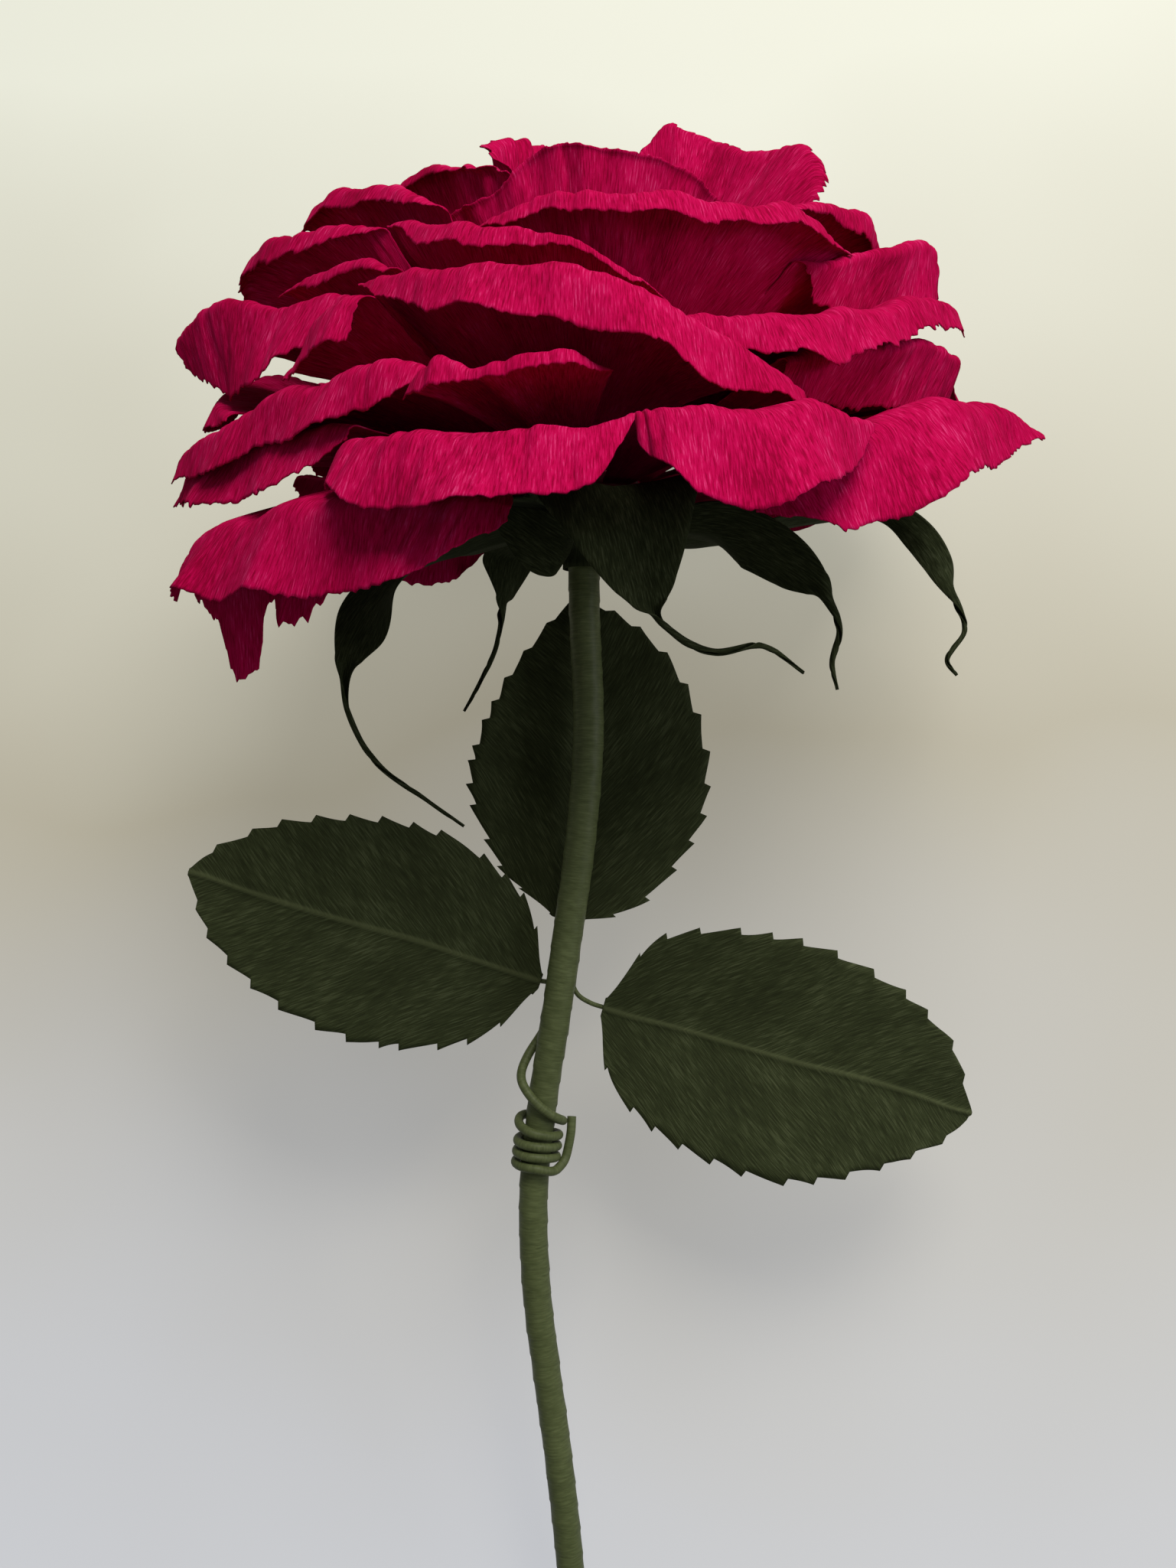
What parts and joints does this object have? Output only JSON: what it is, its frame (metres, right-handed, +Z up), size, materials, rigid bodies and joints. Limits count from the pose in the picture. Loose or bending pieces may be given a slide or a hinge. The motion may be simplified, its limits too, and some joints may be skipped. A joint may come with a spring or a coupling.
{
  "type": "paper rose",
  "caption": "Large crepe paper rose lying on its back: nested red petals with rolled rims, green calyx with long twisted sepal tails, serrated leaves wired to a wrapped stem.",
  "frame": {"origin": "under the middle of the rose's box, on the surface it lies on", "axes": "+Y from the stem's end towards the flower, +Z up as it lies on its back petals, so that +Z is the side the picture shows"},
  "size_m": [0.3618, 0.7614, 0.2642],
  "materials": {
    "red_crepe": "crinkled, dull",
    "green_crepe": "crinkled, dull",
    "green_wrap": "wound strip, slightly waxy",
    "wrapped_wire": "wound strip, slightly waxy",
    "foam": "rigid foam",
    "rod": "drawn"
  },
  "bodies": {
    "root": {"calyx_cup": "green_crepe", "calyx_flap": "green_crepe", "flower_core": "foam", "leaf_left": "green_crepe", "leaf_right": "green_crepe", "leaf_stalk": "wrapped_wire", "leaf_top": "green_crepe", "petal_band_back_left": "red_crepe", "petal_band_back_right": "red_crepe", "petal_band_front": "red_crepe", "petal_band_left": "red_crepe", "petal_band_right": "red_crepe", "petal_bud_back": "red_crepe", "petal_bud_front": "red_crepe", "petal_bud_inner": "red_crepe", "petal_bud_outer": "red_crepe", "petal_crown_left": "red_crepe", "petal_curl_left": "red_crepe", "petal_far_right": "red_crepe", "petal_fold_front": "red_crepe", "petal_front_right": "red_crepe", "petal_hang_back_left": "red_crepe", "petal_hang_back_right": "red_crepe", "petal_last_back": "red_crepe", "petal_low_back_left": "red_crepe", "petal_low_back_right": "red_crepe", "petal_low_front": "red_crepe", "petal_low_left": "red_crepe", "petal_low_right": "red_crepe", "petal_peek_left": "red_crepe", "petal_second_back_left": "red_crepe", "petal_second_back_right": "red_crepe", "petal_second_front": "red_crepe", "petal_second_left": "red_crepe", "petal_second_right": "red_crepe", "petal_shoulder_left": "red_crepe", "petal_side_left": "red_crepe", "petal_tongue_left": "red_crepe", "petal_top_back": "red_crepe", "petal_top_front": "red_crepe", "petal_top_left": "red_crepe", "petal_top_right": "red_crepe", "petal_torn_left": "red_crepe", "petal_under_left": "red_crepe", "petal_upper_back_left": "red_crepe", "petal_upper_back_right": "red_crepe", "petal_upper_front": "red_crepe", "petal_upper_left": "red_crepe", "petal_upper_right": "red_crepe", "sepal_a": "green_crepe", "sepal_b": "green_crepe", "sepal_c": "green_crepe", "sepal_d": "green_crepe", "sepal_e": "green_crepe", "stem_core": "rod", "stem_wrap": "green_wrap", "wire_left": "wrapped_wire", "wire_right": "wrapped_wire", "wire_top": "wrapped_wire"}
  },
  "joints": []
}
